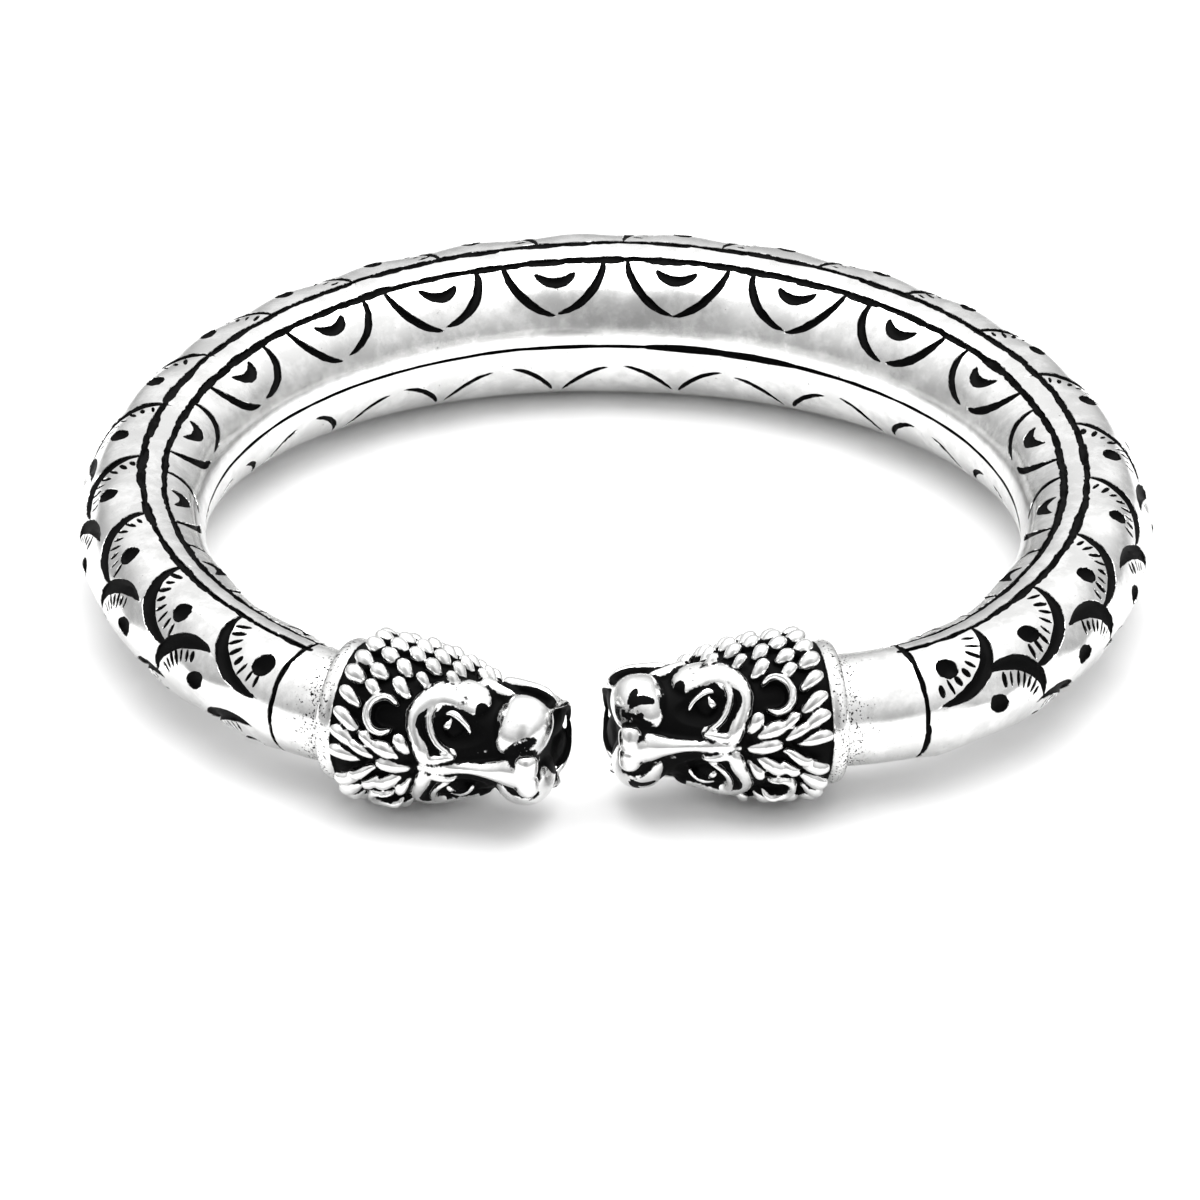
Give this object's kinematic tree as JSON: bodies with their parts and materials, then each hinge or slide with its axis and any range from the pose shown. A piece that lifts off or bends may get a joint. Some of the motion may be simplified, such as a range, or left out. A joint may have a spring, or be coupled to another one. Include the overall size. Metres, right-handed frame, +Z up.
{
  "type": "kada bangle",
  "caption": "Open silver kada bangle of hollow tapering tube with chased petals and scales, ending in a cast lion head on each side of a narrow gap.",
  "frame": {"origin": "middle of the bangle's box in X and Y, on the surface that it lies on", "axes": "+Z up, square to the surface; X across the wrist opening; the gap between the heads faces -Y"},
  "size_m": [0.0847, 0.0846, 0.014],
  "materials": {
    "tube_silver": "hand-burnished silver, chased lines blackened with oxide, fine scratches",
    "head_silver": "cast silver with worn bright tops and a black oxide in the hollows"
  },
  "bodies": {
    "root": {"chased_tube": "tube_silver", "left_lion_head": "head_silver", "right_lion_head": "head_silver"}
  },
  "joints": []
}
